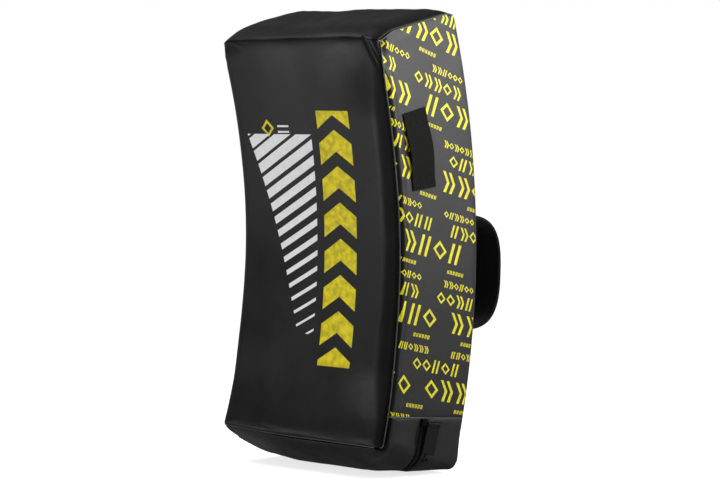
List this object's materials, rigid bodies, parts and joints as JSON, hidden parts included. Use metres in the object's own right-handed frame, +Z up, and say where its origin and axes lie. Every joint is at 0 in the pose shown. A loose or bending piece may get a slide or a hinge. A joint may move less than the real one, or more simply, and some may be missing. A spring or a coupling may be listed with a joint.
{
  "type": "curved strike shield",
  "caption": "Concave padded strike shield with a zipped foam filling, side grab handles, padded arm straps on its back, and a zip slider with a swinging pull tab.",
  "frame": {"origin": "on the ground plane under the lowest point of the base, in the middle of the bounding box across and from front to back", "axes": "+Z up along the straight chord of the curved pad, +Y from the concave strike face towards the holder and the arm straps, +X towards the side with the parked zip slider"},
  "size_m": [0.414, 0.3224, 0.7667],
  "materials": {
    "cover_leather": "black grained synthetic leather, satin",
    "side_leather": "black synthetic leather, satin",
    "band_leather": "black synthetic leather, satin",
    "piping": "black vinyl bead",
    "soft_foam": "open cell foam",
    "firm_foam": "closed cell foam",
    "webbing": "woven nylon webbing",
    "strap_cover": "black synthetic leather",
    "strap_foam": "closed cell foam",
    "strap_lining": "knitted lining",
    "zip_tape": "woven tape",
    "zip_coil": "nylon coil",
    "black_metal": "black zinc",
    "tab_leather": "black synthetic leather"
  },
  "bodies": {
    "pad": {"strike_panel": "cover_leather", "top_panel": "cover_leather", "back_panel": "cover_leather", "side_panel_right": "side_leather", "side_panel_left": "side_leather", "base_band_front": "band_leather", "base_band_rear": "band_leather", "side_piping_right": "piping", "side_piping_left": "piping", "band_piping_right": "piping", "band_piping_left": "piping", "back_piping": "piping", "impact_foam": "soft_foam", "core_foam": "soft_foam", "backing_foam": "firm_foam", "zip_tape_front": "zip_tape", "zip_tape_rear": "zip_tape", "zip_coil_front": "zip_coil", "zip_coil_rear": "zip_coil", "zip_stop_right": "black_metal", "zip_stop_left": "black_metal", "side_handle_right": "webbing", "side_handle_left": "webbing", "strap_shell_right": "strap_cover", "strap_shell_left": "strap_cover", "strap_foam_right": "strap_foam", "strap_foam_left": "strap_foam", "strap_lining_right": "strap_lining", "strap_lining_left": "strap_lining", "strap_patch_right_upper": "strap_cover", "strap_patch_right_lower": "strap_cover", "strap_patch_left_upper": "strap_cover", "strap_patch_left_lower": "strap_cover"},
    "slider": {"zip_slider": "black_metal", "zip_slider_base": "black_metal"},
    "pull": {"pull_loop": "black_metal", "pull_tab": "tab_leather"}
  },
  "joints": [
    {"name": "zip_slide", "type": "slide", "parent": "pad", "child": "slider", "axis": [0, -0.2443, -0.9697], "range_m": [0, 0.038]},
    {"name": "pull_swing", "type": "hinge", "parent": "slider", "child": "pull", "pos_m": [0.1967, -0.04919, 0.08756], "axis": [0, -0.996, 0.0891], "range_deg": [0, 150]}
  ]
}
